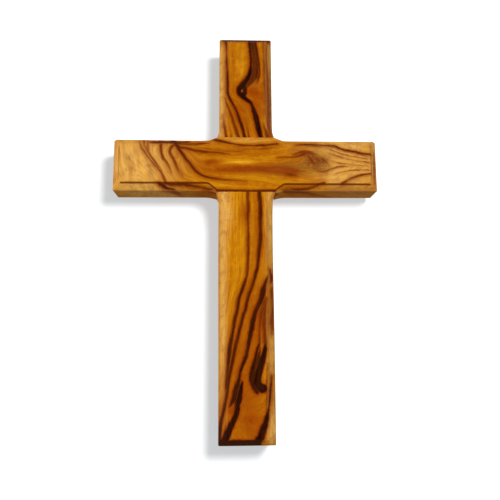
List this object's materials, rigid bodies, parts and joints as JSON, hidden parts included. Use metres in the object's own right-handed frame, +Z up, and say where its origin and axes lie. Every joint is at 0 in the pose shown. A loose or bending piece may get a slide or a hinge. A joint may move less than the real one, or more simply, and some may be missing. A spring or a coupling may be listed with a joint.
{
  "type": "wall cross",
  "caption": "Plain wooden wall cross: two boards in a glued cross lap with a bevelled front, and a ring hanger on the back.",
  "frame": {"origin": "on the upright's back face, on its centre line, level with the inside of the hanger ring's top, where the nail in the wall bears", "axes": "+X to the right seen from the front, +Y towards the wall, +Z up along the upright"},
  "size_m": [0.13, 0.0213, 0.2],
  "materials": {
    "upright_wood": "oiled olive wood with dark heartwood bands, semi-gloss",
    "crossbar_wood": "oiled olive wood with dark growth lines, semi-gloss",
    "strap_brass": "brass-plated strip, satin",
    "ring_brass": "brass-plated wire, bright",
    "screw_zinc": "zinc-plated steel"
  },
  "bodies": {
    "cross": {"upright": "upright_wood", "crossbar": "crossbar_wood", "hanger_strap": "strap_brass", "hanger_screw": "screw_zinc"},
    "ring": {"hanger_ring": "ring_brass"}
  },
  "joints": [
    {"name": "ring_swing", "type": "hinge", "parent": "cross", "child": "ring", "pos_m": [0, 0.0023, -0.01096], "axis": [-1, 0, 0], "range_deg": [0, 180]}
  ]
}
